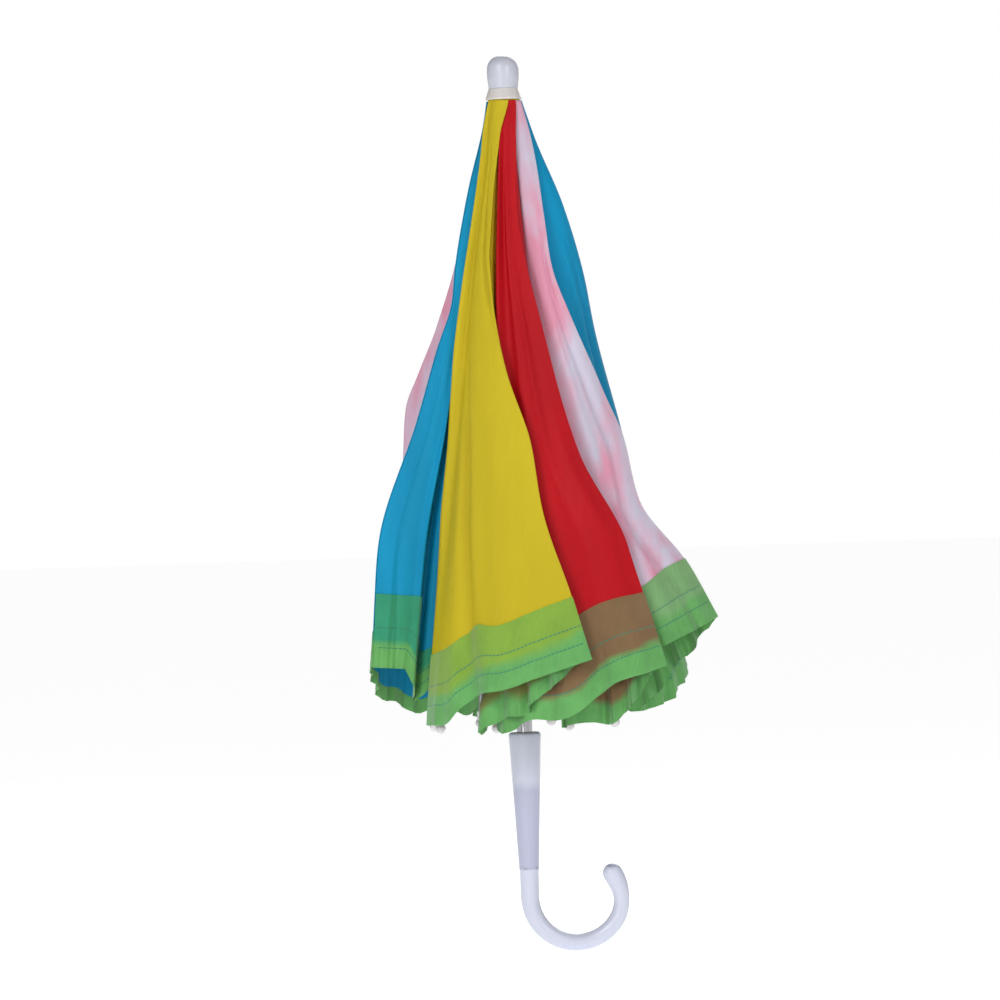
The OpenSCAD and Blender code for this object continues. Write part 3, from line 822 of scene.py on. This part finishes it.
def handle_profile():
    """Centres, directions and radii along the handle, from inside its mouth to the bulb's end."""
    rows = [((0, 0, GRIP_TOP - MOUTH_DEPTH), UP, SHAFT_R)]
    rows.append(((0, 0, GRIP_TOP - MOUTH_BEVEL), UP, SHAFT_R))
    rows.append(((0, 0, GRIP_TOP), UP, SHAFT_R + MOUTH_BEVEL))
    for a in np.linspace(0, math.pi / 2, 6):
        z = GRIP_TOP - LIP_R * (1 - math.cos(a))
        rows.append(((0, 0, z), DOWN, GRIP_TOP_R - LIP_R * (1 - math.sin(a))))
    for u in np.linspace(0.04, 1, 24):
        rows.append(((0, 0, mix(GRIP_TOP - LIP_R, GRIP_LOW, u)), DOWN, mix(GRIP_TOP_R, GRIP_LOW_R, u)))
    rows.append(((0, 0, GRIP_LOW - 0.8 * MM), DOWN, 5.5 * MM))
    rows.append(((0, 0, GRIP_LOW - 6 * MM), DOWN, 5.4 * MM))
    for a in np.linspace(0, HOOK_TURN, 60):
        swell = smooth_step(1 - HOOK_R * (HOOK_TURN - a) / SWELL_LENGTH)
        r = mix(mix(ROD_START_R, ROD_END_R, a / HOOK_TURN), BULB_R, swell)
        bend = HOOK_R - CURL * smooth_step(a / HOOK_TURN * 3.5 - 2.5)
        centre = (HOOK_R - bend * math.cos(a), 0, HOOK_Z - bend * math.sin(a))
        rows.append((centre, (math.sin(a), 0, -math.cos(a)), r))
    end, way = Vector(rows[-1][0]), Vector(rows[-1][1])
    for a in np.linspace(0, math.pi / 2, 9)[1:]:
        centre = tuple(end + way * (BULB_R * math.sin(a)))
        rows.append((centre, tuple(way), max(BULB_R * math.cos(a), POINT_R)))
    return rows


def tube_object(name, rows, material, downwards=False, sides=48):
    """A round skin through rows of centre, direction and radius, closed at its last row."""
    points = []
    for centre, way, radius in rows:
        side = Vector((0, 1, 0))
        up = Vector(way).cross(side)
        if way == UP:
            up = -up
        points.append([tuple(Vector(centre) + float(radius) * (math.cos(a) * up + math.sin(a) * side))
                       for a in np.linspace(0, 2 * np.pi, sides, endpoint=False)])
    mesh = bpy.data.meshes.new(name)
    flat = [p for ring in points for p in ring]
    faces = []
    for first in range(0, (len(rows) - 1) * sides, sides):
        for k in range(sides):
            near = (k + 1) % sides
            faces.append([first + k, first + near, first + sides + near, first + sides + k])
    faces.append([(len(rows) - 1) * sides + k for k in range(sides)])
    mesh.from_pydata(flat, [], [f[::-1] for f in faces] if downwards else faces)
    mesh.polygons.foreach_set("use_smooth", np.ones(len(mesh.polygons), bool))
    mesh.materials.append(material)
    made = bpy.data.objects.new(name, mesh)
    bpy.context.collection.objects.link(made)
    return made


def handle_material():
    """Milky plastic, darker where the steel tube shows through the thin end of the grip, with a dark ring
    at the tube's end."""
    material = plastic_material("handle_plastic", PEARL, 0.34, 0.15, 0.03)
    tree = material.node_tree
    place = add_node(tree, "ShaderNodeTexCoord").outputs["Object"]
    parts = add_node(tree, "ShaderNodeSeparateXYZ", {"Vector": place}).outputs
    ripples = noise_value(tree, scaled(tree, place, (260, 260, 40)), 1.0, 2.0)
    height = calculate(tree, "ADD", parts["Z"], ramp(tree, ripples, 0, 1, -3 * MM, 3 * MM))
    below = ramp(tree, height, 12 * MM, 6 * MM)
    above = ramp(tree, parts["Z"], GRIP_LOW - 0.5 * MM, GRIP_LOW + 0.5 * MM)
    inside = calculate(tree, "MULTIPLY", below, above)
    clear = tree.nodes["Principled BSDF"].inputs["Base Color"].links[0].from_socket
    made = mix_colours(tree, calculate(tree, "MULTIPLY", inside, 0.75), clear, TUBE_SHADE)
    end_ring = ramp(tree, parts["Z"], GRIP_LOW + 2.2 * MM, GRIP_LOW + 0.6 * MM)
    smudges = noise_value(tree, scaled(tree, place, (300, 300, 500)), 1.0, 2.0)
    dark = calculate(tree, "MULTIPLY", calculate(tree, "MULTIPLY", end_ring, above),
                     ramp(tree, smudges, 0.4, 0.6, 0.1, 0.7))
    feed(tree, "Base Color", mix_colours(tree, dark, made, TUBE_END_SHADE))
    return material


handle = tube_object("handle_shell", handle_profile(), handle_material(), downwards=True)
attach(handle, "shaft")
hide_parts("handle")

# ---- the ferrule's cap ----

CAP_LOW = 412.45 * MM
CAP_DOME = 422.25 * MM
CAP_R = 9.2 * MM
CAP_NECK_R = 8.5 * MM
CAP_BORE_R = 4.6 * MM
DOME_POWER = 2.5


def cap_profile():
    """A short neck that swells softly into a rather square dome."""
    rows = [((0, 0, CAP_LOW), UP, CAP_BORE_R), ((0, 0, CAP_LOW), UP, CAP_NECK_R)]
    for u in np.linspace(0.1, 1, 12):
        rows.append(((0, 0, mix(CAP_LOW, CAP_DOME - 2 * MM, u)), UP, mix(CAP_NECK_R, CAP_R, smooth_step(u))))
    for a in np.linspace(0, math.pi / 2, 16):
        z = CAP_DOME + CAP_R * math.sin(a) ** (2 / DOME_POWER)
        rows.append(((0, 0, z), UP, max(CAP_R * math.cos(a) ** (2 / DOME_POWER), POINT_R)))
    return rows


cap = tube_object("ferrule_cap_shell", cap_profile(), CAP_PLASTIC)
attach(cap, "shaft")
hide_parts("ferrule_cap")

bpy.context.view_layer.update()
